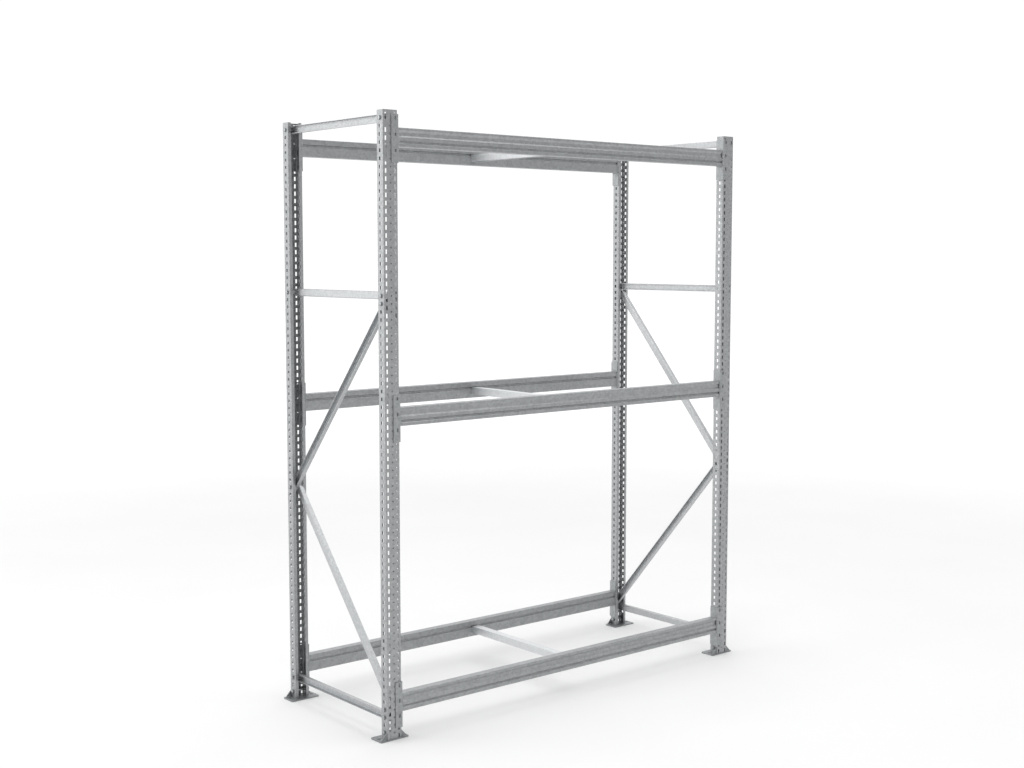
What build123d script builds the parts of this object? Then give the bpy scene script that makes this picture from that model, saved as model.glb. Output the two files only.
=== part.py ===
from build123d import *
import os

# Tyre storage rack: two perforated end frames carry three levels of paired beams, and tyres stand
# in the gap between the front and the rear beam of a level.
# Millimetres. Origin on the floor at the middle of the rack, X along the beams, Y from the front
# to the rear, Z up.

# ---------------------------------------------------------------- overall sizes
rack_height = 2000.0          # floor to the top of the uprights
bay_width = 1500.0            # clear distance between the two end frames
frame_depth = 600.0           # outside of the front web to outside of the rear web
bottom_level_hole = 4         # web hole, counted from 0, that the middle hook of a level uses
middle_level_hole = 41
top_level_below = 4           # the same for the top level, counted down from the last web hole

# ---------------------------------------------------------------- uprights
upright_width = 55.0          # along X, the web
upright_depth = 35.0          # along Y, the side flanges
wall = 1.5
bend_radius = 3.0             # outside of each fold
hole_pitch = 25.0
web_hole_start = 12.5         # height of the first web hole
hook_hole_width = 6.5
hook_hole_height = 14.0
hook_column = 17.5            # each side of the middle of the web
round_hole_r = 2.5            # middle column, between the hook holes
side_hole_start = 25.0        # height of the first flange hole
side_hole_width = 9.0
side_hole_height = 11.0
top_slot_height = 22.0        # the long hole at the head of each upright
top_slot_drop = 19.0          # its middle, below the top

# ---------------------------------------------------------------- footplates
plate_thickness = 4.0
plate_reach = 27.5            # past the upright on both sides
plate_depth = 60.0
plate_front = 2.5             # past the web
plate_corner = 5.0
anchor_hole_r = 5.5
anchor_edge = 14.0            # hole centre to the end of the plate
cheek_thickness = 3.0
cheek_height = 42.0
cheek_depth = 27.0
rib_height = 24.0
rib_thickness = 3.0
rib_inset = 3.0               # from the web face

# ---------------------------------------------------------------- end frame braces
brace_height = 25.0
brace_depth = 15.0
brace_wall = 1.5
brace_bend = 3.0
brace_gap = 0.5               # between a brace and the lip beside it
brace_overrun = 10.0          # past the bolt at each end
middle_tie_hole = 56          # flange holes, counted from 0, that the braces are bolted to
upper_diagonal_hole = 55
shared_hole = 29
lower_diagonal_hole = 3
bottom_tie_hole = 2

# ---------------------------------------------------------------- fasteners
bolt_r = 4.0
bolt_hole_r = 4.5
head_across = 13.0            # hexagon, across its flats
head_height = 5.3
nut_height = 6.5
thread_end = 1.5              # thread that stands past a nut
spacer_r = 7.0

# ---------------------------------------------------------------- beams and connectors
beam_height = 60.0
beam_depth = 30.0
beam_wall = 1.5
beam_corner = 2.0
groove = 4.0                  # depth of the rolled-in grooves
lower_groove = (10.0, 14.0, 16.0, 20.0)   # front face, heights above the beam's underside
upper_recess = (30.0, 25.0, 15.0, 8.0)    # front face, drops below the beam's top
rear_groove = (27.0, 24.0, 21.0, 18.0)    # inner face, drops below the beam's top
plate_gap = 0.3               # running clearance between a connector and its upright
connector_wall = 3.0
connector_bend = 4.0
connector_above = 40.0        # past the top of the beam
connector_height = 150.0
connector_face = 28.0         # width of the leg on the web
connector_side = 33.0         # depth of the leg on the flange
hook_width = 4.0
hook_drop = 8.0               # how far the nose reaches down behind the web
hook_free = 0.5               # further lift that lets the nose leave its hole
hook_clearance = 0.2          # left above the neck when the beam is fully lifted
hook_nose = 2.5
hook_step = 2                 # web holes between two hooks
window_width = 6.5            # opening in the leg on the web, above each hook
window_height = 12.0
window_rise = 14.0            # its middle, above the middle of the hook's web hole
leg_edge = 1.2                # rounding of the leg's free edge

# ---------------------------------------------------------------- cross ties
tie_height = 26.0
tie_width = 30.0
tie_wall = 2.0
tie_drop = 20.0               # top of the tie below the top of the beam
screw_r = 2.5
screw_clearance = 0.2
screw_length = 14.0
screw_head_r = 5.0
screw_head_height = 3.0

# ---------------------------------------------------------------- worked out
upright_length = rack_height - plate_thickness
upright_x = bay_width / 2 + upright_width / 2
web_holes = int((rack_height - web_hole_start) // hole_pitch) + 1
side_holes = int((rack_height - side_hole_start - side_hole_height) // hole_pitch) + 1
lip = upright_width / 2 - brace_depth - brace_gap     # return lips beside the open side
top_tie_hole = side_holes - 1
levels = {
    "bottom": bottom_level_hole,
    "middle": middle_level_hole,
    "top": web_holes - top_level_below,
}
bolt_y = frame_depth / 2 - upright_depth / 2
lift_travel = hook_drop + hook_free                   # upward travel that frees the hooks
hook_root = hook_hole_height - plate_gap - lift_travel - hook_clearance
beam_length = bay_width - 2 * (plate_gap + connector_wall)
beam_front = -frame_depth / 2
beam_gap = frame_depth - 2 * beam_depth
foot_bolt_z = side_hole_start


def web_hole_z(index):
    """Height of a web hole, counted from 0 at the foot."""
    return web_hole_start + index * hole_pitch


def side_hole_z(index):
    """Height of a flange hole, counted from 0 at the foot."""
    return side_hole_start + index * hole_pitch


def save(shape, name):
    """Label a finished piece and write it as its own STEP file."""
    shape.label = name
    export_step(shape, f"parts/{name}.step")


os.makedirs("parts", exist_ok=True)

# ================================================================ upright
# Modelled as the left front one: web at the front, open side to the rear.
left_x = -upright_x
web_y = -frame_depth / 2

with BuildPart() as upright:
    with BuildSketch(Plane.XY.offset(plate_thickness)):
        with Locations((left_x, web_y + upright_depth / 2)):
            Rectangle(upright_width, upright_depth)
        fillet(vertices(), bend_radius)
        with Locations((left_x, web_y + upright_depth / 2)):
            RectangleRounded(
                upright_width - 2 * wall,
                upright_depth - 2 * wall,
                bend_radius - wall,
                mode=Mode.SUBTRACT,
            )
        with Locations((left_x, web_y + upright_depth)):
            Rectangle(upright_width - 2 * lip, upright_depth, mode=Mode.SUBTRACT)
    extrude(amount=upright_length)

    # web: two columns of hook holes, a middle column of round holes and a long hole at the head
    with BuildSketch(Plane.XZ.offset(-web_y)):
        head_slot_z = rack_height - top_slot_drop
        hole_rows = [
            web_hole_z(index)
            for index in range(web_holes)
            if web_hole_z(index) > plate_thickness + hook_hole_height / 2
        ]
        lower_rows = [z for z in hole_rows if z < head_slot_z - top_slot_height]
        with Locations(*[(left_x + hook_column, z) for z in hole_rows]):
            Rectangle(hook_hole_width, hook_hole_height)
        with Locations(*[(left_x - hook_column, z) for z in lower_rows]):
            Rectangle(hook_hole_width, hook_hole_height)
        with Locations((left_x - hook_column, head_slot_z)):
            SlotOverall(top_slot_height, hook_hole_width, rotation=90)
        with Locations(*[(left_x, z + hole_pitch / 2) for z in lower_rows]):
            Circle(round_hole_r)
    extrude(amount=-wall, mode=Mode.SUBTRACT)

    # side flanges: one column of near-square holes through both
    with BuildSketch(Plane.YZ.offset(left_x - upright_width / 2)):
        with Locations(*[(-bolt_y, side_hole_z(index)) for index in range(side_holes)]):
            Rectangle(side_hole_width, side_hole_height)
    extrude(amount=upright_width, mode=Mode.SUBTRACT)

# The frames are alike and stand turned half a turn about Z from each other, so what is made for
# the left one serves the right one, with front and rear exchanged.
half_turn = Location((0, 0, 0), (0, 0, 180))
rear_upright = mirror(upright.part, about=Plane.XZ)
save(upright.part.moved(Location((0, 0, 0))), "left_front_upright")
save(rear_upright.moved(Location((0, 0, 0))), "left_rear_upright")
save(upright.part.moved(half_turn), "right_rear_upright")
save(rear_upright.moved(half_turn), "right_front_upright")

# ================================================================ footplate
# A floor plate with two cheeks that stand inside the upright's flanges, and a rib on each side.
plate_y = web_y - plate_front + plate_depth / 2
cheek_x = upright_width / 2 - wall - plate_gap - cheek_thickness / 2
cheek_y = web_y + bend_radius + plate_gap + cheek_depth / 2
rib_start = upright_width / 2 + plate_gap
rib_y = web_y + rib_inset + rib_thickness
anchor_x = upright_width / 2 + plate_reach - anchor_edge

with BuildPart() as footplate:
    with BuildSketch():
        with Locations((left_x, plate_y)):
            RectangleRounded(upright_width + 2 * plate_reach, plate_depth, plate_corner)
        with Locations((left_x - anchor_x, plate_y), (left_x + anchor_x, plate_y)):
            Circle(anchor_hole_r, mode=Mode.SUBTRACT)
    extrude(amount=plate_thickness)
    with BuildSketch(Plane.XY.offset(plate_thickness)):
        with Locations((left_x - cheek_x, cheek_y), (left_x + cheek_x, cheek_y)):
            Rectangle(cheek_thickness, cheek_depth)
    extrude(amount=cheek_height)
    with BuildSketch(Plane.XZ.offset(-rib_y)):
        for side in (-1, 1):
            with BuildLine():
                Polyline(
                    (left_x + side * rib_start, plate_thickness),
                    (left_x + side * (rib_start + plate_reach - plate_corner), plate_thickness),
                    (left_x + side * rib_start, plate_thickness + rib_height),
                    close=True,
                )
            make_face()
    extrude(amount=rib_thickness)
    with BuildSketch(Plane.YZ.offset(left_x - cheek_x - cheek_thickness / 2)):
        with Locations((-bolt_y, foot_bolt_z)):
            Circle(bolt_hole_r)
    extrude(amount=2 * cheek_x + cheek_thickness, mode=Mode.SUBTRACT)

# ================================================================ fastener makers
def hex_bolt(head_x, end_x, y, z):
    """Bolt along X: its head stands outside head_x, and its shank ends at end_x."""
    with BuildPart() as bolt:
        with BuildSketch(Plane.YZ.offset(head_x)):
            with Locations((y, z)):
                RegularPolygon(head_across / 2, 6, major_radius=False)
        extrude(amount=-head_height)
        with BuildSketch(Plane.YZ.offset(head_x)):
            with Locations((y, z)):
                Circle(bolt_r)
        extrude(amount=end_x - head_x)
    return bolt.part


def hex_nut(x, y, z):
    """Nut along X that sits against the face at x, with the thread's core left open."""
    with BuildPart() as nut:
        with BuildSketch(Plane.YZ.offset(x)):
            with Locations((y, z)):
                RegularPolygon(head_across / 2, 6, major_radius=False)
                Circle(bolt_r, mode=Mode.SUBTRACT)
        extrude(amount=nut_height)
    return nut.part


def sleeve(x, end_x, y, z):
    """Spacer tube along X from x to end_x, round a bolt."""
    with BuildPart() as tube:
        with BuildSketch(Plane.YZ.offset(x)):
            with Locations((y, z)):
                Circle(spacer_r)
                Circle(bolt_hole_r, mode=Mode.SUBTRACT)
        extrude(amount=end_x - x)
    return tube.part


# Each foot is held by one long bolt through both flanges and both cheeks.
flange_out = left_x - upright_width / 2
flange_in = left_x + upright_width / 2
foot_end = flange_in + nut_height + thread_end
foot_bolt = hex_bolt(flange_out, foot_end, -bolt_y, foot_bolt_z)
foot_nut = hex_nut(flange_in, -bolt_y, foot_bolt_z)
foot_places = {
    "left_front": Location((0, 0, 0)),
    "left_rear": Location((0, 0, 0)),
    "right_rear": half_turn,
    "right_front": half_turn,
}
rear_plate = mirror(footplate.part, about=Plane.XZ)
for corner, place in foot_places.items():
    left_frame_front = corner in ("left_front", "right_rear")
    shape = footplate.part if left_frame_front else rear_plate
    save(shape.moved(place), f"{corner}_footplate")
foot_bolts = [foot_bolt, mirror(foot_bolt, about=Plane.XZ)]
foot_nuts = [foot_nut, mirror(foot_nut, about=Plane.XZ)]
foot_bolts += [bolt.moved(half_turn) for bolt in foot_bolts]
foot_nuts += [nut.moved(half_turn) for nut in foot_nuts]
save(Compound(children=foot_bolts), "footplate_bolts")
save(Compound(children=foot_nuts), "footplate_nuts")


# ================================================================ end frame braces
def brace(start, end, half):
    """C channel between two bolts given as (y, z) points.

    half is -1 for the outer half of the upright, open outwards, and 1 for the inner half, open
    inwards, so that two braces on one bolt stand back to back.
    """
    run = Vector(0, end[0] - start[0], end[1] - start[1])
    across = Vector(half, 0, 0)
    section = Plane(origin=(left_x, start[0], start[1]), x_dir=across, z_dir=run.normalized())
    section = section.offset(-brace_overrun)
    length = run.length + 2 * brace_overrun
    opening = brace_height - 2 * brace_wall
    with BuildPart() as channel:
        with BuildSketch(section):
            with Locations((brace_depth, 0)):
                RectangleRounded(2 * brace_depth, brace_height, brace_bend)
                RectangleRounded(
                    2 * (brace_depth - brace_wall),
                    opening,
                    brace_bend - brace_wall,
                    mode=Mode.SUBTRACT,
                )
            with Locations((brace_depth * 1.5, 0)):
                Rectangle(brace_depth, brace_height, mode=Mode.SUBTRACT)
        extrude(amount=length)
        with BuildSketch(Plane.YZ.offset(left_x - brace_depth)):
            with Locations(start, end):
                Circle(bolt_hole_r)
        extrude(amount=2 * brace_depth, mode=Mode.SUBTRACT)
    return channel.part


outer_half = -1
inner_half = 1
top_tie_z = side_hole_z(top_tie_hole)
middle_tie_z = side_hole_z(middle_tie_hole)
upper_z = side_hole_z(upper_diagonal_hole)
shared_z = side_hole_z(shared_hole)
lower_z = side_hole_z(lower_diagonal_hole)
bottom_tie_z = side_hole_z(bottom_tie_hole)
braces = {
    "top_tie": brace((-bolt_y, top_tie_z), (bolt_y, top_tie_z), outer_half),
    "middle_tie": brace((-bolt_y, middle_tie_z), (bolt_y, middle_tie_z), inner_half),
    "upper_diagonal": brace((-bolt_y, upper_z), (bolt_y, shared_z), outer_half),
    "lower_diagonal": brace((-bolt_y, lower_z), (bolt_y, shared_z), inner_half),
    "bottom_tie": brace((-bolt_y, bottom_tie_z), (bolt_y, bottom_tie_z), outer_half),
}
for name, shape in braces.items():
    save(shape.moved(Location((0, 0, 0))), f"left_frame_{name}")
    save(shape.moved(half_turn), f"right_frame_{name}")

# Each brace bolt goes through the outer flange, a sleeve and one or two webs, and its nut stands
# inside the upright, which leaves the inner flange free for the connectors.
web_out = left_x - brace_wall
web_in = left_x + brace_wall
bolt_stations = (
    (-bolt_y, top_tie_z, web_out, left_x),
    (bolt_y, top_tie_z, web_out, left_x),
    (-bolt_y, middle_tie_z, left_x, web_in),
    (bolt_y, middle_tie_z, left_x, web_in),
    (-bolt_y, upper_z, web_out, left_x),
    (bolt_y, shared_z, web_out, web_in),
    (-bolt_y, lower_z, left_x, web_in),
    (-bolt_y, bottom_tie_z, web_out, left_x),
    (bolt_y, bottom_tie_z, web_out, left_x),
)
frame_bolts = []
frame_nuts = []
frame_sleeves = []
for y, z, sleeve_end, nut_face in bolt_stations:
    frame_bolts.append(hex_bolt(flange_out, nut_face + nut_height + thread_end, y, z))
    frame_nuts.append(hex_nut(nut_face, y, z))
    frame_sleeves.append(sleeve(flange_out + wall, sleeve_end, y, z))
fasteners = {"bolts": frame_bolts, "nuts": frame_nuts, "sleeves": frame_sleeves}
for name, shapes in fasteners.items():
    save(Compound(children=shapes), f"left_frame_{name}")
    turned = [shape.moved(half_turn) for shape in shapes]
    save(Compound(children=turned), f"right_frame_{name}")

# ================================================================ beam
# Levels are modelled about height 0, where the middle hook's web hole is, and raised afterwards.
beam_top = connector_height / 2 - connector_above
beam_bottom = beam_top - beam_height
beam_inner = beam_front + beam_depth
tie_top = beam_top - tie_drop
screw_z = tie_top - tie_wall - (tie_height - tie_wall) / 2
screw_x = tie_width / 4


def beam_outline(inset):
    """Closed roll-formed outline, drawn inset from the outside by the wall for the bore."""
    front = beam_front + inset
    rear = beam_inner - inset
    low = beam_bottom + inset
    high = beam_top - inset
    floor = front + groove
    recess = rear - groove
    with BuildLine() as line:
        Polyline(
            (front, low),
            (front, beam_bottom + lower_groove[0]),
            (floor, beam_bottom + lower_groove[1]),
            (floor, beam_bottom + lower_groove[2]),
            (front, beam_bottom + lower_groove[3]),
            (front, beam_top - upper_recess[0]),
            (floor, beam_top - upper_recess[1]),
            (floor, beam_top - upper_recess[2]),
            (front, beam_top - upper_recess[3]),
            (front, high),
            (rear, high),
            (rear, beam_top - rear_groove[3]),
            (recess, beam_top - rear_groove[2]),
            (recess, beam_top - rear_groove[1]),
            (rear, beam_top - rear_groove[0]),
            (rear, low),
            close=True,
        )
    return line.line


with BuildPart() as beam:
    with BuildSketch(Plane.YZ.offset(-beam_length / 2)):
        make_face(beam_outline(0.0))
        ends = vertices().sort_by(Axis.Y)
        fillet(ends[:2] + ends[-2:], beam_corner)
        make_face(beam_outline(beam_wall), mode=Mode.SUBTRACT)
    extrude(amount=beam_length)
    with BuildSketch(Plane.XZ.offset(-beam_inner)):
        with Locations((-screw_x, screw_z), (screw_x, screw_z)):
            Circle(screw_r + screw_clearance)
    extrude(amount=2 * beam_wall, mode=Mode.SUBTRACT)

# ================================================================ connector
# Modelled at the left end of a front beam: one leg on the web, one on the flange, three hooks,
# and above each hook the opening that it is pressed out of.
leg_front = web_y - plate_gap - connector_wall
leg_back = web_y - plate_gap
side_face = flange_in + plate_gap
side_out = side_face + connector_wall
side_end = beam_front + connector_side
hook_x = left_x + hook_column
neck_low = -hook_hole_height / 2 + plate_gap
neck_high = neck_low + hook_root
nose_low = neck_low - hook_drop
nose_start = web_y + wall + plate_gap
nose_end = nose_start + hook_nose
hook_pitch = hook_step * hole_pitch

with BuildPart() as connector:
    with BuildSketch(Plane.XY.offset(-connector_height / 2)):
        with BuildLine():
            Polyline(
                (side_out - connector_face, leg_front),
                (side_out, leg_front),
                (side_out, side_end),
                (side_face, side_end),
                (side_face, leg_back),
                (side_out - connector_face, leg_back),
                close=True,
            )
        make_face()
        fillet(vertices().group_by(Axis.X)[0].sort_by(Axis.Y)[0], leg_edge)
        fillet(vertices().sort_by(Axis.Y)[:2].sort_by(Axis.X)[-1], connector_bend)
    extrude(amount=connector_height)
    with BuildSketch(Plane.XZ.offset(-leg_back)):
        with Locations(*[(hook_x, step * hook_pitch + window_rise) for step in (-1, 0, 1)]):
            Rectangle(window_width, window_height)
    extrude(amount=connector_wall, mode=Mode.SUBTRACT)
    with BuildSketch(Plane.YZ.offset(hook_x - hook_width / 2)):
        for step in (-1, 0, 1):
            lift = step * hook_pitch
            with BuildLine():
                Polyline(
                    (leg_back - connector_wall / 2, neck_high + lift),
                    (nose_end, neck_high + lift),
                    (nose_end, nose_low + hook_nose / 2 + lift),
                    (nose_end - hook_nose / 2, nose_low + lift),
                    (nose_start, nose_low + lift),
                    (nose_start, neck_low + lift),
                    (leg_back - connector_wall / 2, neck_low + lift),
                    close=True,
                )
            make_face()
    extrude(amount=hook_width)

# ================================================================ cross tie
# A channel open downwards between the two beams, with a tab at each end for two screws.
tie_end = beam_gap / 2

with BuildPart() as cross_tie:
    with BuildSketch(Plane.XZ.offset(-tie_end)):
        with Locations((0, tie_top - tie_height / 2)):
            Rectangle(tie_width, tie_height)
    extrude(amount=2 * tie_end)
    with BuildSketch(Plane.XZ.offset(-tie_end + tie_wall)):
        with Locations((0, tie_top - tie_wall - tie_height / 2)):
            Rectangle(tie_width - 2 * tie_wall, tie_height)
    extrude(amount=2 * (tie_end - tie_wall), mode=Mode.SUBTRACT)
    with BuildSketch(Plane.XZ.offset(-tie_end)):
        with Locations((-screw_x, screw_z), (screw_x, screw_z)):
            Circle(screw_r + screw_clearance)
    extrude(amount=2 * tie_end, mode=Mode.SUBTRACT)


def tie_screw(x):
    """Pan head screw that holds the tie's front tab to the front beam."""
    with BuildPart() as screw:
        with BuildSketch(Plane.XZ.offset(tie_end - tie_wall)):
            with Locations((x, screw_z)):
                Circle(screw_r)
        extrude(amount=screw_length)
        with BuildSketch(Plane.XZ.offset(tie_end - tie_wall)):
            with Locations((x, screw_z)):
                Circle(screw_head_r)
        extrude(amount=-screw_head_height)
        fillet(edges().sort_by(Axis.Y)[-1], screw_head_height / 2)
    return screw.part


front_screws = [tie_screw(-screw_x), tie_screw(screw_x)]
screws = front_screws + [screw.moved(half_turn) for screw in front_screws]
right_connector = mirror(connector.part, about=Plane.YZ)

for level, hole in levels.items():
    raised = Location((0, 0, web_hole_z(hole)))
    save(beam.part.moved(raised), f"{level}_front_beam")
    save(beam.part.moved(raised * half_turn), f"{level}_rear_beam")
    save(connector.part.moved(raised), f"{level}_front_left_connector")
    save(right_connector.moved(raised), f"{level}_front_right_connector")
    save(right_connector.moved(raised * half_turn), f"{level}_rear_left_connector")
    save(connector.part.moved(raised * half_turn), f"{level}_rear_right_connector")
    save(cross_tie.part.moved(raised), f"{level}_cross_tie")
    save(Compound(children=[screw.moved(raised) for screw in screws]), f"{level}_cross_tie_screws")
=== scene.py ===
"""Galvanised tyre storage rack: finishes, fasteners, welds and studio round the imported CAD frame.

All lengths are metres in the frame of the CAD model: X along the beams, Y from the front to the
rear, Z up from the floor.
"""

import logging
import math
from dataclasses import dataclass, field, replace
from enum import Enum

import bmesh
import bpy
from mathutils import Matrix, Vector


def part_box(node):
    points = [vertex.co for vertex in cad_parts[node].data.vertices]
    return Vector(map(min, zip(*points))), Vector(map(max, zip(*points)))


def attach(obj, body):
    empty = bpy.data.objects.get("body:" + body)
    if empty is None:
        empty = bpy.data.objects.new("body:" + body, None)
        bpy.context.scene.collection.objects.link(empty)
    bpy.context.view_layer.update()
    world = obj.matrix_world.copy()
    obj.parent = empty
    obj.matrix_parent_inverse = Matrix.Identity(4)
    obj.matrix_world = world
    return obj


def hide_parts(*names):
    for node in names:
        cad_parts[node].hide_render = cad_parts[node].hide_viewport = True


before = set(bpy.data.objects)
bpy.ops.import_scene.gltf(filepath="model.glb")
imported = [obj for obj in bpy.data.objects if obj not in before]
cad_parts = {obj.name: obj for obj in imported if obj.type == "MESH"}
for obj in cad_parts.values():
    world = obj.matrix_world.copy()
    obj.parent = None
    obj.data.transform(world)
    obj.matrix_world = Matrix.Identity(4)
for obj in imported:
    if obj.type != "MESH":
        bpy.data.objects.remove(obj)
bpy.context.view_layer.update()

MM = 0.001
log = logging.getLogger("tyre_rack")


class Slot(Enum):
    """The record's material slot names; the new pieces here take their finish from the palette, not
    from these.
    """

    BEAM = "beam_steel"
    FOOTPLATE = "footplate_steel"
    FASTENER = "zinc_plated_fasteners"


class Run(Enum):
    """The direction in which a strip was rolled, as scales that stretch a pattern along it."""

    ALONG_X = (0.02, 1.0, 1.0)
    ALONG_Y = (1.0, 0.02, 1.0)
    ALONG_Z = (1.0, 1.0, 0.02)


# ---------------------------------------------------------------- small helpers
def linear(hex_value: str) -> tuple[float, float, float, float]:
    """Turns an sRGB hex colour into the linear colour that a shader takes.

    Args:
        hex_value: Six hex digits after a hash.

    Returns:
        Red, green, blue and an alpha of 1.
    """
    parts = [int(hex_value[i : i + 2], 16) / 255.0 for i in (1, 3, 5)]
    toned = [p / 12.92 if p <= 0.04045 else ((p + 0.055) / 1.055) ** 2.4 for p in parts]
    return toned[0], toned[1], toned[2], 1.0


def per_metre(size_mm: float) -> float:
    """Returns the texture scale whose pattern repeats about every size_mm millimetres."""
    return 1000.0 / size_mm


def add_node(
    tree: bpy.types.NodeTree, kind: str, inputs: dict | None = None, **settings: object
) -> bpy.types.Node:
    """Adds one node, with its settings, constants and links.

    Args:
        tree: The node tree it goes into.
        kind: The node's type name.
        inputs: Input name or index to a constant, or to the output socket that feeds it.
        **settings: Attributes of the node.

    Returns:
        The new node.
    """
    node = tree.nodes.new(kind)
    for name, value in settings.items():
        setattr(node, name, value)
    for key, value in (inputs or {}).items():
        if isinstance(value, bpy.types.NodeSocket):
            tree.links.new(value, node.inputs[key])
        else:
            node.inputs[key].default_value = value
    return node


def share_smoothing(bm: bmesh.types.BMesh, crease_deg: float = 32.0) -> None:
    """Shades faces smooth and keeps sharp edges crisp.

    Args:
        bm: The mesh.
        crease_deg: The fold from which an edge stays crisp.
    """
    for face in bm.faces:
        face.smooth = True
    for edge in bm.edges:
        folded = len(edge.link_faces) == 2
        edge.smooth = folded and edge.calc_face_angle(0.0) < math.radians(crease_deg)


def add_copy(target: bmesh.types.BMesh, source: bmesh.types.BMesh, place: Matrix) -> None:
    """Adds a placed copy of one mesh to another.

    Args:
        target: The mesh that grows.
        source: The mesh that is copied, which stays as it is.
        place: Where the copy goes.
    """
    carrier = bpy.data.meshes.new("carrier")
    source.to_mesh(carrier)
    carrier.transform(place)
    target.from_mesh(carrier)
    bpy.data.meshes.remove(carrier)


def make_piece(
    name: str,
    bm: bmesh.types.BMesh,
    material: bpy.types.Material,
    body: str,
    nodes: tuple[str, ...] = (),
) -> bpy.types.Object:
    """Turns a finished mesh into a piece that rides on a CAD body.

    Args:
        name: The piece's name.
        bm: Its mesh, in place, which is freed.
        material: Its finish.
        body: The CAD body that it rides on.
        nodes: The CAD nodes that it stands for.

    Returns:
        The new object, at the origin.
    """
    bmesh.ops.recalc_face_normals(bm, faces=bm.faces)
    share_smoothing(bm)
    mesh = bpy.data.meshes.new(name)
    bm.to_mesh(mesh)
    bm.free()
    mesh.materials.append(material)
    piece = bpy.data.objects.new(name, mesh)
    bpy.context.scene.collection.objects.link(piece)
    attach(piece, body)
    if nodes:
        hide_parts(*nodes)
    log.info("%s: %d faces on %s", name, len(mesh.polygons), body)
    return piece


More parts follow.
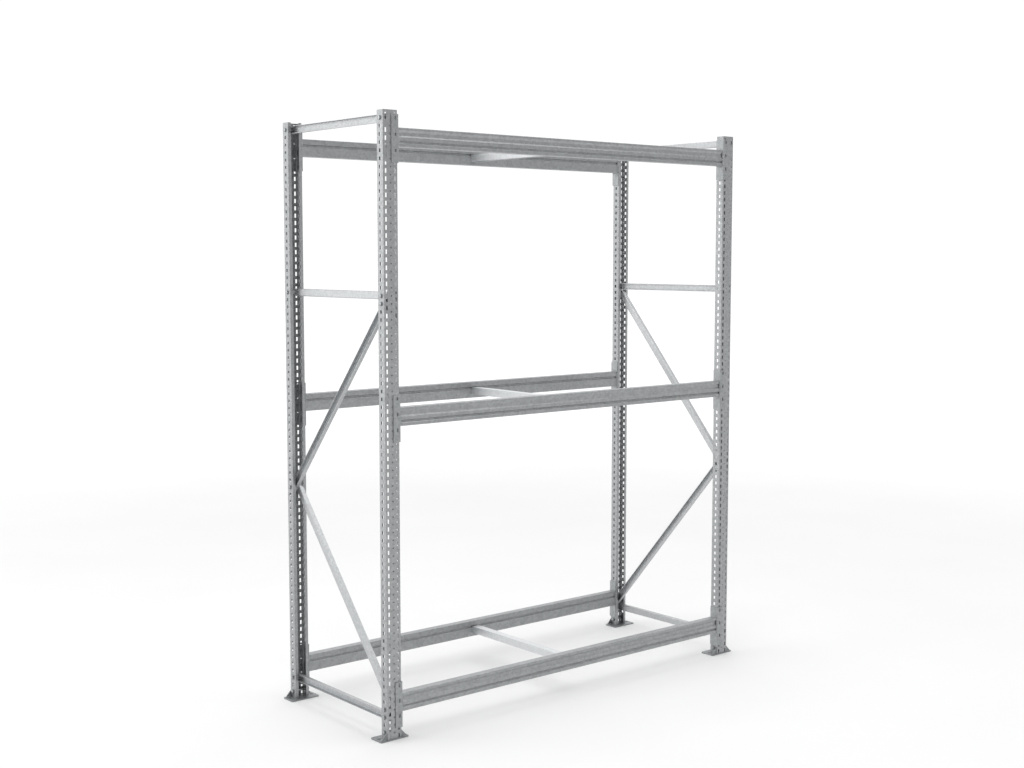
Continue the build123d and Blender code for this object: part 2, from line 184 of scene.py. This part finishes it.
# ---------------------------------------------------------------- finishes
@dataclass(frozen=True)
class GalvanisedSteel:
    """Steel strip with a continuous hot-dip zinc coat.

    The zinc freezes in crystals a few millimetres across, so the eye meets a soft grey metal whose
    patches catch the light a little differently, with faint lines along the rolling direction and
    slow clouds where the coat is duller.
    """

    name: str
    bright: str
    dull: str
    run: Run = Run.ALONG_Z
    turn_deg: float = 0.0
    spangle_mm: float = 7.0
    frost_mm: float = 1.6
    line_mm: float = 3.0
    cloud_mm: float = 160.0
    spangle_share: float = 0.40
    frost_share: float = 0.20
    line_share: float = 0.22
    cloud_share: float = 0.18
    roughness: tuple[float, float] = (0.40, 0.56)
    relief_mm: float = 0.05
    relief_strength: float = 0.35
    wander_cell: float = 0.8
    wander_push: float = 0.7
    gloss_shares: tuple[float, float] = (0.6, 0.4)
    relief_shares: tuple[float, float, float] = (0.5, 0.3, 0.2)

    def material(self) -> bpy.types.Material:
        """Builds the node material.

        Returns:
            The material, on Object coordinates.
        """
        made = bpy.data.materials.new(self.name)
        made.use_nodes = True
        tree = made.node_tree
        tree.nodes.clear()
        place = add_node(tree, "ShaderNodeTexCoord").outputs["Object"]
        along = add_node(
            tree,
            "ShaderNodeMapping",
            {"Vector": place, "Rotation": (math.radians(self.turn_deg), 0.0, 0.0)},
        ).outputs["Vector"]

        # crystal outlines wander, so the cells' coordinates are pushed about by a third of a cell
        wander = add_node(
            tree,
            "ShaderNodeTexNoise",
            {
                "Vector": along,
                "Scale": per_metre(self.spangle_mm * self.wander_cell),
                "Detail": 2.0,
            },
        )
        centred = add_node(
            tree,
            "ShaderNodeVectorMath",
            {0: wander.outputs["Color"], 1: (0.5, 0.5, 0.5)},
            operation="SUBTRACT",
        )
        push = add_node(
            tree,
            "ShaderNodeVectorMath",
            {
                0: centred.outputs["Vector"],
                "Scale": self.spangle_mm * MM * self.wander_push,
            },
            operation="SCALE",
        )
        pushed = add_node(
            tree,
            "ShaderNodeVectorMath",
            {0: along, 1: push.outputs["Vector"]},
            operation="ADD",
        ).outputs["Vector"]
        crystals = add_node(
            tree,
            "ShaderNodeTexVoronoi",
            {"Vector": pushed, "Scale": per_metre(self.spangle_mm)},
        )
        crystal = add_node(
            tree, "ShaderNodeSeparateColor", {"Color": crystals.outputs["Color"]}
        )
        frost = add_node(
            tree,
            "ShaderNodeTexNoise",
            {"Vector": along, "Scale": per_metre(self.frost_mm), "Detail": 3.0},
        ).outputs["Fac"]
        stretched = add_node(
            tree, "ShaderNodeMapping", {"Vector": along, "Scale": self.run.value}
        ).outputs["Vector"]
        lines = add_node(
            tree,
            "ShaderNodeTexNoise",
            {"Vector": stretched, "Scale": per_metre(self.line_mm), "Detail": 3.0},
        ).outputs["Fac"]
        clouds = add_node(
            tree,
            "ShaderNodeTexNoise",
            {"Vector": along, "Scale": per_metre(self.cloud_mm), "Detail": 4.0},
        ).outputs["Fac"]

        tone = self._weighted(
            tree,
            (
                (crystal.outputs["Red"], self.spangle_share),
                (frost, self.frost_share),
                (lines, self.line_share),
                (clouds, self.cloud_share),
            ),
        )
        colour = add_node(
            tree,
            "ShaderNodeMix",
            {"Factor": tone, "A": linear(self.dull), "B": linear(self.bright)},
            data_type="RGBA",
        )
        gloss = self._weighted(
            tree, tuple(zip((crystal.outputs["Green"], clouds), self.gloss_shares))
        )
        roughness = add_node(
            tree,
            "ShaderNodeMapRange",
            {"Value": gloss, "To Min": self.roughness[0], "To Max": self.roughness[1]},
        ).outputs["Result"]
        height = self._weighted(
            tree, tuple(zip((crystals.outputs["Distance"], frost, lines), self.relief_shares))
        )
        bump = add_node(
            tree,
            "ShaderNodeBump",
            {
                "Height": height,
                "Strength": self.relief_strength,
                "Distance": self.relief_mm * MM,
            },
        )
        shader = add_node(
            tree,
            "ShaderNodeBsdfPrincipled",
            {
                "Base Color": colour.outputs["Result"],
                "Metallic": 1.0,
                "Roughness": roughness,
                "Normal": bump.outputs["Normal"],
            },
        )
        add_node(
            tree, "ShaderNodeOutputMaterial", {"Surface": shader.outputs["BSDF"]}
        )
        return made

    @staticmethod
    def _weighted(
        tree: bpy.types.NodeTree,
        parts: tuple[tuple[bpy.types.NodeSocket, float], ...],
    ) -> bpy.types.NodeSocket:
        """Adds up patterns by weight.

        Args:
            tree: The node tree.
            parts: Each pattern's output with its weight.

        Returns:
            The output that holds the sum.
        """
        total: bpy.types.NodeSocket | float = 0.0
        for pattern, weight in parts:
            total = add_node(
                tree,
                "ShaderNodeMath",
                {0: pattern, 1: weight, 2: total},
                operation="MULTIPLY_ADD",
            ).outputs["Value"]
        return total


@dataclass(frozen=True)
class Palette:
    """Every finish of the rack, made once and shared by the pieces that wear it."""

    made: dict[str, bpy.types.Material] = field(default_factory=dict)

    def finish(self, steel: GalvanisedSteel) -> bpy.types.Material:
        """Returns the steel's material, which is built the first time it is asked for."""
        if steel.name not in self.made:
            self.made[steel.name] = steel.material()
        return self.made[steel.name]


# Coated strip, punched and folded into posts: a middle grey with faint lines down its length.
UPRIGHT_STEEL = GalvanisedSteel("galvanised_upright_strip", "#bdbfc0", "#97999b")
# Coated strip, roll-formed into beams: slightly larger crystals, and lines along the beam.
BEAM_STEEL = GalvanisedSteel(
    "galvanised_beam_strip", "#bbbdbe", "#939597", Run.ALONG_X, spangle_mm=8.0
)
# Thin coated strip, folded into braces: it froze quickly, so it is finer in its grain; its paler
# grey is a painted highlight that stands for the light falling on the braces' side faces.
BRACE_PAINTED_LIGHT_STEEL = GalvanisedSteel(
    "galvanised_brace_strip", "#cfd1d2", "#aeb0b2", Run.ALONG_Y, spangle_mm=6.0
)
# Coated strip, folded into cross ties: its grey is made the palest metal here, nearly white, as a
# painted highlight that stands for the overhead light falling on the ties' tops.
CROSS_TIE_PAINTED_HIGHLIGHT_STEEL = GalvanisedSteel(
    "galvanised_tie_strip_painted_highlight", "#eaeced", "#d0d2d4", Run.ALONG_Y, spangle_mm=6.0
)
# Coated plate, pressed with hooks and windows: duller and rougher, so its folds look soft.
CONNECTOR_STEEL = GalvanisedSteel(
    "galvanised_pressed_plate", "#bbbdbe", "#939698", roughness=(0.44, 0.6)
)
# Thick coated plate: it cooled slowly, so it has the largest crystals and the dullest grey.
FOOTPLATE_STEEL = GalvanisedSteel(
    "galvanised_foot_plate",
    "#b0b2b3",
    "#888b8d",
    Run.ALONG_X,
    spangle_mm=9.0,
    roughness=(0.46, 0.62),
)
# Electroplated zinc is thin and even: smoother than a dipped coat, with no crystals, so the eye
# gets small clean glints on flats and rims.
ZINC_PLATING = GalvanisedSteel(
    "zinc_plated_fastener",
    "#babcbe",
    "#96999b",
    spangle_share=0.0,
    frost_share=0.5,
    line_share=0.2,
    cloud_share=0.3,
    frost_mm=0.8,
    cloud_mm=12.0,
    roughness=(0.34, 0.50),
    relief_mm=0.01,
)
# A weld bead under zinc spray is matt and grainy, so the eye gets a dull seam that no light
# glints on.
SPRAYED_WELD = GalvanisedSteel(
    "zinc_sprayed_weld",
    "#c8cacb",
    "#8e9194",
    Run.ALONG_Y,
    spangle_share=0.0,
    frost_share=0.6,
    line_share=0.1,
    cloud_share=0.3,
    frost_mm=1.0,
    cloud_mm=9.0,
    roughness=(0.55, 0.72),
    relief_mm=0.15,
)


# ---------------------------------------------------------------- CAD parts shown as they are
@dataclass
class CadDresser:
    """Gives the CAD nodes whose shape is final their finish."""

    palette: Palette
    brace_drop: float = 0.650
    brace_span: float = 0.565

    def dress(self, node: str, steel: GalvanisedSteel) -> None:
        """Puts a finish into every material slot of a CAD node.

        Args:
            node: The node's name.
            steel: Its finish.
        """
        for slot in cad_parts[node].material_slots:
            slot.material = self.palette.finish(steel)
        log.info("%s: %s", node, steel.name)

    def diagonal(self, side: str, name: str, falls_to_rear: bool) -> None:
        """Dresses a diagonal, with its rolling lines turned to lie along it.

        Args:
            side: Which end frame.
            name: Which diagonal.
            falls_to_rear: Whether it goes down from the front to the rear.
        """
        slope = math.degrees(math.atan2(self.brace_drop, self.brace_span))
        turn = slope if falls_to_rear else -slope
        lie = "falling" if falls_to_rear else "rising"
        # the diagonals keep the brace steel's paler grey, a painted highlight for light on their
        # faces
        steel = replace(BRACE_PAINTED_LIGHT_STEEL, name=f"galvanised_{lie}_brace_strip_painted_light", turn_deg=turn)
        self.dress(f"{side}_frame_{name}", steel)

    def build(self) -> None:
        """Dresses uprights, footplates, braces, sleeves, beams, connectors and ties."""
        for side in ("left", "right"):
            for end in ("front", "rear"):
                self.dress(f"{side}_{end}_upright", UPRIGHT_STEEL)
                self.dress(f"{side}_{end}_footplate", FOOTPLATE_STEEL)
            for tie in ("top_tie", "middle_tie", "bottom_tie"):
                self.dress(f"{side}_frame_{tie}", BRACE_PAINTED_LIGHT_STEEL)
            self.diagonal(side, "upper_diagonal", side == "left")
            self.diagonal(side, "lower_diagonal", side == "right")
            self.dress(f"{side}_frame_sleeves", ZINC_PLATING)
        for level in ("bottom", "middle", "top"):
            # the cross ties' near-white grey is a painted highlight for light from above
            self.dress(f"{level}_cross_tie", CROSS_TIE_PAINTED_HIGHLIGHT_STEEL)
            self.dress(f"{level}_cross_tie_screws", ZINC_PLATING)
            for end in ("front", "rear"):
                self.dress(f"{level}_{end}_beam", BEAM_STEEL)
                for side in ("left", "right"):
                    self.dress(f"{level}_{end}_{side}_connector", CONNECTOR_STEEL)


# ---------------------------------------------------------------- hexagon bolts and nuts
@dataclass
class HexFasteners:
    """Chamfered M8 bolts and nuts that stand where the CAD has plain ones."""

    palette: Palette
    across_flats: float = 13.0 * MM
    head_height: float = 5.3 * MM
    nut_height: float = 6.5 * MM
    shank_radius: float = 4.0 * MM
    bore_radius: float = 4.1 * MM
    thread_pitch: float = 1.25 * MM
    thread_depth: float = 0.6 * MM
    threaded_length: float = 16.0 * MM
    ridge_share: float = 0.98
    ridge_sink: float = 0.1 * MM
    ridge_stop: float = 0.4 * MM
    tip_bevel: float = 0.5 * MM
    countersink: float = 0.5 * MM
    chamfer_deg: float = 30.0
    chamfer_share: float = 0.97
    chamfer_planes: int = 24
    sides: int = 24
    turn_steps: int = 16
    same_point: float = 0.01 * MM
    cut_merge: float = 0.002 * MM

    def hexagon(self, height: float, both_ends: bool) -> bmesh.types.BMesh:
        """Makes a hexagonal block along Z from 0 to height, turned to a cone at its ends.

        Args:
            height: Its height.
            both_ends: Whether the lower end is chamfered as well as the upper one.

        Returns:
            The block's mesh.
        """
        bm = bmesh.new()
        bmesh.ops.create_cone(
            bm,
            cap_ends=True,
            segments=6,
            radius1=self.across_flats / math.sqrt(3.0),
            radius2=self.across_flats / math.sqrt(3.0),
            depth=height,
            matrix=Matrix.Translation((0.0, 0.0, height / 2)),
        )
        tilt = math.radians(self.chamfer_deg)
        rim = self.across_flats / 2 * self.chamfer_share
        ends = [(height, 1.0)] + ([(0.0, -1.0)] if both_ends else [])
        for level, up in ends:
            for step in range(self.chamfer_planes):
                angle = (step + 0.5) * 2 * math.pi / self.chamfer_planes
                out = Vector((math.cos(angle), math.sin(angle), 0.0))
                cut = bmesh.ops.bisect_plane(
                    bm,
                    geom=[*bm.verts, *bm.edges, *bm.faces],
                    plane_co=out * rim + Vector((0.0, 0.0, level)),
                    plane_no=out * math.sin(tilt) + Vector((0.0, 0.0, up * math.cos(tilt))),
                    clear_outer=True,
                )
                edges = [g for g in cut["geom_cut"] if isinstance(g, bmesh.types.BMEdge)]
                bmesh.ops.holes_fill(bm, edges=edges)
        bmesh.ops.remove_doubles(bm, verts=bm.verts, dist=self.cut_merge)
        return bm

    def nut(self) -> bmesh.types.BMesh:
        """Makes a nut along Z from 0 to its height, with an open countersunk bore.

        Returns:
            The nut's mesh.
        """
        bm = self.hexagon(self.nut_height, True)
        rims = []
        for up in (1.0, -1.0):
            face = max(bm.faces, key=lambda f: (f.normal.z * up, f.calc_area()))
            rim = max((v.co.xy.length for v in face.verts))
            for width in (rim - self.bore_radius - self.countersink, self.countersink):
                bmesh.ops.inset_region(bm, faces=[face], thickness=width, use_even_offset=True)
            bmesh.ops.translate(bm, verts=face.verts, vec=(0.0, 0.0, -self.countersink * up))
            rims.extend(face.edges)
            bmesh.ops.delete(bm, geom=[face], context="FACES_ONLY")
        bmesh.ops.bridge_loops(bm, edges=rims)
        return bm

    def bolt(self, length: float) -> bmesh.types.BMesh:
        """Makes a bolt along Z, its head below 0 and its shank from 0 to length.

        Args:
            length: The shank's length.

        Returns:
            The bolt's mesh.
        """
        bm = bmesh.new()
        head = self.hexagon(self.head_height, False)
        add_copy(bm, head, Matrix.Rotation(math.pi, 4, "X"))
        head.free()
        core = self.shank_radius - self.thread_depth
        plain = length - self.threaded_length
        sections = ((0.0, plain, self.shank_radius), (plain, length, core))
        for low, high, radius in sections:
            bmesh.ops.create_cone(
                bm,
                cap_ends=True,
                segments=self.sides,
                radius1=radius,
                radius2=radius,
                depth=high - low,
                matrix=Matrix.Translation((0.0, 0.0, (low + high) / 2)),
            )
        tip = length - self.same_point
        bmesh.ops.bevel(
            bm,
            geom=[e for e in bm.edges if all(v.co.z > tip for v in e.verts)],
            affect="EDGES",
            offset=self.tip_bevel,
            segments=1,
            profile=0.5,
            material=-1,
        )
        self.thread(bm, plain, length - self.ridge_stop, core)
        return bm

    def thread(self, bm: bmesh.types.BMesh, start: float, end: float, core: float) -> None:
        """Winds a closed V-shaped ridge round the shank.

        Args:
            bm: The bolt's mesh.
            start: Height at which the ridge begins.
            end: Height at which it ends.
            core: Radius of the shank under the ridge.
        """
        turns = (end - start) / self.thread_pitch - 1.0
        steps = int(turns * self.turn_steps)
        sunk = core - self.ridge_sink
        corners = (
            (sunk, start),
            (self.shank_radius, start + self.thread_pitch / 2),
            (sunk, start + self.thread_pitch * self.ridge_share),
        )
        verts = [bm.verts.new((x, 0.0, z)) for x, z in corners]
        first = bm.faces.new(verts)
        wound = bmesh.ops.spin(
            bm,
            geom=list(first.edges) + verts,
            cent=(0.0, 0.0, 0.0),
            axis=(0.0, 0.0, 1.0),
            dvec=(0.0, 0.0, self.thread_pitch / self.turn_steps),
            angle=2 * math.pi * steps / self.turn_steps,
            steps=steps,
        )
        last = [g for g in wound["geom_last"] if isinstance(g, bmesh.types.BMEdge)]
        bmesh.ops.holes_fill(bm, edges=last)

    def stations(self, node: str) -> list[tuple[Vector, Vector]]:
        """Finds where the CAD has each fastener of a node.

        Args:
            node: A CAD node of separate solids.

        Returns:
            Each solid's lowest and highest corner, from the lowest one up.
        """
        bm = bmesh.new()
        bm.from_mesh(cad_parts[node].data)
        bmesh.ops.remove_doubles(bm, verts=bm.verts, dist=self.same_point)
        boxes = []
        left = set(bm.verts)
        while left:
            island, grow = set(), [left.pop()]
            while grow:
                vert = grow.pop()
                island.add(vert)
                for edge in vert.link_edges:
                    other = edge.other_vert(vert)
                    if other in left:
                        left.discard(other)
                        grow.append(other)
            low = Vector(min(v.co[i] for v in island) for i in range(3))
            high = Vector(max(v.co[i] for v in island) for i in range(3))
            boxes.append((low, high))
        bm.free()
        return sorted(boxes, key=lambda b: (round(b[0].z, 4), round(b[0].y, 4), b[0].x))

    def stand_in(self, node: str, is_bolt: bool) -> None:
        """Builds detailed fasteners where a CAD node has plain ones.

        Args:
            node: The CAD node that they stand for.
            is_bolt: Whether they are bolts and not nuts.
        """
        whole = bmesh.new()
        for index, (low, high) in enumerate(self.stations(node)):
            inward = 1.0 if low.x + high.x < 0 else -1.0
            start = low.x if inward > 0 else high.x
            if is_bolt:
                source = self.bolt(high.x - low.x - self.head_height)
                start += inward * self.head_height
            else:
                source = self.nut()
            centre = (low + high) / 2
            # the hexagon's first corner is on Y, so two flats lie level, as on the CAD solid
            turned = Matrix.Rotation(math.pi / 2 * inward, 4, "Y")
            place = Matrix.Translation((start, centre.y, centre.z)) @ turned
            add_copy(whole, source, place)
            source.free()
        make_piece(
            f"{node}_threaded" if is_bolt else f"{node}_chamfered",
            whole,
            self.palette.finish(ZINC_PLATING),
            "end_frames",
            (node,),
        )

    def build(self) -> None:
        """Builds the bolts and nuts of both end frames and of the footplates."""
        for group in ("left_frame", "right_frame", "footplate"):
            self.stand_in(f"{group}_bolts", True)
            self.stand_in(f"{group}_nuts", False)


# ---------------------------------------------------------------- welds
@dataclass
class WeldBeads:
    """Rippled fillet welds that hold the beams to their connectors and the ribs to the feet."""

    palette: Palette
    radius: float = 2.6 * MM
    ripple: float = 1.3 * MM
    ripple_depth: float = 0.10
    tip_size: float = 0.45
    shoulder_size: float = 0.85
    corner_back: float = 5.0 * MM
    post_gap: float = 2.0 * MM
    rib_faces: tuple[float, float] = (3.0 * MM, 6.0 * MM)
    rib_margin: float = 8.0 * MM
    sides: int = 10

    def bead(self, length: float) -> bmesh.types.BMesh:
        """Makes a bead along Z, centred on the origin.

        Args:
            length: Its length.

        Returns:
            The bead's closed mesh.
        """
        bm = bmesh.new()
        bmesh.ops.create_circle(
            bm,
            segments=self.sides,
            radius=self.radius * self.tip_size,
            matrix=Matrix.Translation((0.0, 0.0, -length / 2)),
        )
        edges = list(bm.edges)
        bmesh.ops.holes_fill(bm, edges=edges)
        count = max(4, int(length / self.ripple)) * 2
        size = self.tip_size
        for step in range(1, count + 1):
            grown = bmesh.ops.extrude_edge_only(bm, edges=edges)["geom"]
            verts = [g for g in grown if isinstance(g, bmesh.types.BMVert)]
            edges = [g for g in grown if isinstance(g, bmesh.types.BMEdge)]
            edges = [e for e in edges if all(v in verts for v in e.verts)]
            end = min(step, count - step)
            target = {0: self.tip_size, 1: self.shoulder_size}.get(end, 1.0)
            target *= 1.0 - (self.ripple_depth if step % 2 else 0.0)
            level = -length / 2 + length * step / count
            bmesh.ops.translate(bm, verts=verts, vec=(0.0, 0.0, length / count))
            bmesh.ops.scale(
                bm,
                verts=verts,
                vec=(target / size, target / size, 1.0),
                space=Matrix.Translation((0.0, 0.0, -level)),
            )
            size = target
        bmesh.ops.holes_fill(bm, edges=edges)
        return bm

    def run(self, whole: bmesh.types.BMesh, start: Vector, end: Vector) -> None:
        """Adds a bead from start to end.

        Args:
            whole: The mesh that it is added to.
            start: One end.
            end: The other end.
        """
        along = end - start
        source = self.bead(along.length)
        turn = along.to_track_quat("Z", "Y").to_matrix().to_4x4()
        add_copy(whole, source, Matrix.Translation((start + end) / 2) @ turn)
        source.free()

    def beam_ends(self, level: str) -> None:
        """Welds both beams of a level to their connectors.

        Args:
            level: The level's name.
        """
        whole = bmesh.new()
        for end in ("front", "rear"):
            low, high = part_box(f"{level}_{end}_beam")
            for x in (low.x, high.x):
                corners = [
                    Vector((x, y, z))
                    for y, z in (
                        (low.y, low.z),
                        (high.y, low.z),
                        (high.y, high.z),
                        (low.y, high.z),
                    )
                ]
                for a, b in zip(corners, corners[1:] + corners[:1]):
                    trim = (b - a).normalized() * self.corner_back
                    self.run(whole, a + trim, b - trim)
        make_piece(
            f"{level}_beam_welds",
            whole,
            self.palette.finish(SPRAYED_WELD),
            f"{level}_level",
        )

    def foot_ribs(self) -> None:
        """Welds the ribs of the footplates along their lower edges."""
        whole = bmesh.new()
        for side in ("left", "right"):
            for end in ("front", "rear"):
                low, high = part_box(f"{side}_{end}_footplate")
                post_low, post_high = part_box(f"{side}_{end}_upright")
                outward = -1.0 if end == "front" else 1.0
                web = post_low.y if end == "front" else post_high.y
                faces = [web - outward * depth for depth in self.rib_faces]
                for y in faces:
                    for start, stop in (
                        (low.x + self.rib_margin, post_low.x - self.post_gap),
                        (post_high.x + self.post_gap, high.x - self.rib_margin),
                    ):
                        self.run(
                            whole,
                            Vector((start, y, post_low.z)),
                            Vector((stop, y, post_low.z)),
                        )
        make_piece(
            "footplate_rib_welds",
            whole,
            self.palette.finish(SPRAYED_WELD),
            "end_frames",
        )

    def build(self) -> None:
        """Builds the welds of every level and of the footplates."""
        for level in ("bottom", "middle", "top"):
            self.beam_ends(level)
        self.foot_ribs()


# ---------------------------------------------------------------- studio
@dataclass
class SoftLight:
    """One softbox."""

    name: str
    place: tuple[float, float, float]
    aim: tuple[float, float, float]
    size: tuple[float, float]
    watts: float

    def build(self) -> None:
        """Adds the light, turned to its aim."""
        data = bpy.data.lights.new(self.name, "AREA")
        data.shape = "RECTANGLE"
        data.size, data.size_y = self.size
        data.energy = self.watts
        lamp = bpy.data.objects.new(self.name, data)
        bpy.context.scene.collection.objects.link(lamp)
        lamp.location = self.place
        aim = Vector(self.aim) - Vector(self.place)
        lamp.rotation_euler = aim.to_track_quat("-Z", "Y").to_euler()
        log.info("%s: %.0f W", self.name, self.watts)


@dataclass
class Studio:
    """Camera, pale floor and soft light.

    wash is the emission added to the floor from the first to the second distance of wash_reach,
    and glow_turn is the span of the direction's Y over which the room goes from front to back glow.
    """

    camera_place: tuple[float, float, float] = (-3.3131, -3.9476, 1.5478)
    azimuth_deg: float = -39.67
    pitch_deg: float = 5.154
    lens_mm: float = 49.73
    film_mm: float = 36.0
    sight: float = 200.0
    floor_half: float = 40.0
    floor_squares: int = 8
    mottle_mm: float = 900.0
    floor_pale: str = "#e8e8e8"
    floor_dim: str = "#e2e2e2"
    front_glow: float = 0.36
    back_glow: float = 1.05
    glow_turn: tuple[float, float] = (-1.0, 0.1)
    wash_reach: tuple[float, float] = (2.0, 9.0)
    wash: tuple[float, float] = (0.04, 0.38)
    lights: tuple[SoftLight, ...] = (
        SoftLight("overhead_softbox", (0.0, -0.5, 5.0), (0.0, 0.0, 0.0), (5.0, 5.0), 115.0),
        SoftLight("rear_left_softbox", (-5.0, 3.0, 2.6), (0.0, 0.0, 1.0), (3.0, 4.0), 50.0),
    )

    def camera(self) -> None:
        """Adds the camera and makes it the scene's."""
        data = bpy.data.cameras.new("camera")
        data.lens = self.lens_mm
        data.sensor_width = self.film_mm
        data.clip_end = self.sight
        data.dof.use_dof = False
        eye = bpy.data.objects.new("camera", data)
        bpy.context.scene.collection.objects.link(eye)
        eye.location = self.camera_place
        eye.rotation_euler = (
            math.radians(90.0 - self.pitch_deg),
            0.0,
            math.radians(self.azimuth_deg),
        )
        bpy.context.scene.camera = eye

    def floor(self) -> None:
        """Adds the pale floor, which a backdrop wash lifts to white away from the rack."""
        bm = bmesh.new()
        bmesh.ops.create_grid(
            bm,
            x_segments=self.floor_squares,
            y_segments=self.floor_squares,
            size=self.floor_half,
        )
        mesh = bpy.data.meshes.new("floor")
        bm.to_mesh(mesh)
        bm.free()
        # matt emulsion on a smooth floor: an even pale ground with soft shadows and no shine
        paint = bpy.data.materials.new("matt_pale_floor_paint")
        paint.use_nodes = True
        tree = paint.node_tree
        tree.nodes.clear()
        place = add_node(tree, "ShaderNodeTexCoord").outputs["Object"]
        mottle = add_node(
            tree, "ShaderNodeTexNoise", {"Vector": place, "Scale": per_metre(self.mottle_mm)}
        )
        colour = add_node(
            tree,
            "ShaderNodeMix",
            {
                "Factor": mottle.outputs["Fac"],
                "A": linear(self.floor_dim),
                "B": linear(self.floor_pale),
            },
            data_type="RGBA",
        )
        reach = add_node(
            tree, "ShaderNodeVectorMath", {0: place}, operation="LENGTH"
        ).outputs["Value"]
        wash = add_node(
            tree,
            "ShaderNodeMapRange",
            {
                "Value": reach,
                "From Min": self.wash_reach[0],
                "From Max": self.wash_reach[1],
                "To Min": self.wash[0],
                "To Max": self.wash[1],
            },
            interpolation_type="SMOOTHSTEP",
        ).outputs["Result"]
        shader = add_node(
            tree,
            "ShaderNodeBsdfPrincipled",
            {
                "Base Color": colour.outputs["Result"],
                "Roughness": 0.8,
                "Emission Color": (1.0, 1.0, 1.0, 1.0),
                "Emission Strength": wash,
            },
        )
        add_node(
            tree, "ShaderNodeOutputMaterial", {"Surface": shader.outputs["BSDF"]}
        )
        mesh.materials.append(paint)
        floor = bpy.data.objects.new("floor", mesh)
        bpy.context.scene.collection.objects.link(floor)

    def surroundings(self) -> None:
        """Lights the room evenly, a little dimmer towards the front."""
        world = bpy.data.worlds.new("studio")
        world.use_nodes = True
        tree = world.node_tree
        tree.nodes.clear()
        aim = add_node(tree, "ShaderNodeTexCoord").outputs["Generated"]
        split = add_node(tree, "ShaderNodeSeparateXYZ", {"Vector": aim})
        glow = add_node(
            tree,
            "ShaderNodeMapRange",
            {
                "Value": split.outputs["Y"],
                "From Min": self.glow_turn[0],
                "From Max": self.glow_turn[1],
                "To Min": self.front_glow,
                "To Max": self.back_glow,
            },
            interpolation_type="SMOOTHSTEP",
        )
        back = add_node(
            tree,
            "ShaderNodeBackground",
            {"Color": (1.0, 1.0, 1.0, 1.0), "Strength": glow.outputs["Result"]},
        )
        add_node(
            tree, "ShaderNodeOutputWorld", {"Surface": back.outputs["Background"]}
        )
        bpy.context.scene.world = world

    def build(self) -> None:
        """Builds the camera, the floor and the light."""
        self.camera()
        self.floor()
        self.surroundings()
        for light in self.lights:
            light.build()
        bpy.context.scene.view_settings.view_transform = "Standard"


def main() -> None:
    """Builds the studio, then dresses the CAD parts and adds the detailed pieces."""
    logging.basicConfig(level=logging.INFO, format="%(name)s: %(message)s")
    Studio().build()
    palette = Palette()
    CadDresser(palette).build()
    HexFasteners(palette).build()
    WeldBeads(palette).build()


if __name__ == "__main__":
    main()
